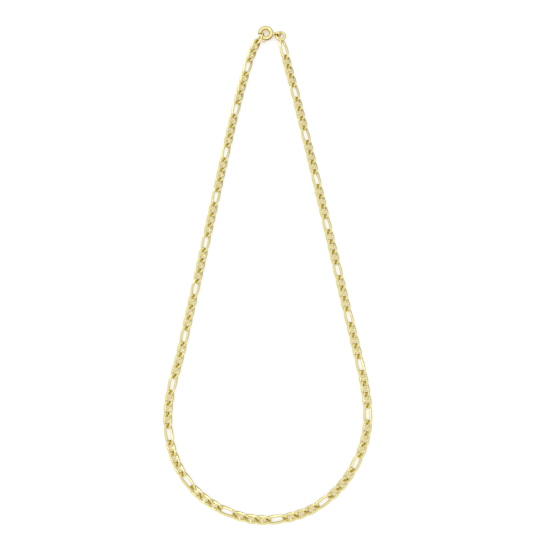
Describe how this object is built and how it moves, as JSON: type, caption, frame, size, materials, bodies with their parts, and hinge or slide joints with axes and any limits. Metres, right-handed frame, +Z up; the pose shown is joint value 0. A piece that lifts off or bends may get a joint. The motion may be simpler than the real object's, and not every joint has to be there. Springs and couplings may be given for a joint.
{
  "type": "figaro chain necklace",
  "caption": "Closed neck chain of barred short links and plain long links, with a spring ring clasp, lying flat in a teardrop loop.",
  "frame": {"origin": "on the surface that the chain lies on, under the middle of the whole loop's box", "axes": "+Z up out of the surface, +Y from the bottom of the loop towards the clasp, +X to the right seen from above"},
  "size_m": [0.0889, 0.2223, 0.0033],
  "materials": {
    "chain_gold": "polished yellow gold",
    "clasp_gold": "polished pale yellow gold"
  },
  "bodies": {
    "necklace": {"chain_left": "chain_gold", "chain_right": "chain_gold", "spring_ring": "clasp_gold", "end_ring": "clasp_gold"},
    "bolt": {"bolt": "clasp_gold"}
  },
  "joints": [
    {"name": "bolt_slide", "type": "hinge", "parent": "necklace", "child": "bolt", "pos_m": [-0.00111, 0.10774, 0.00162], "axis": [0, 0, 1], "range_deg": [0, 62], "stiffness_Nm_per_rad": 0.0005}
  ]
}
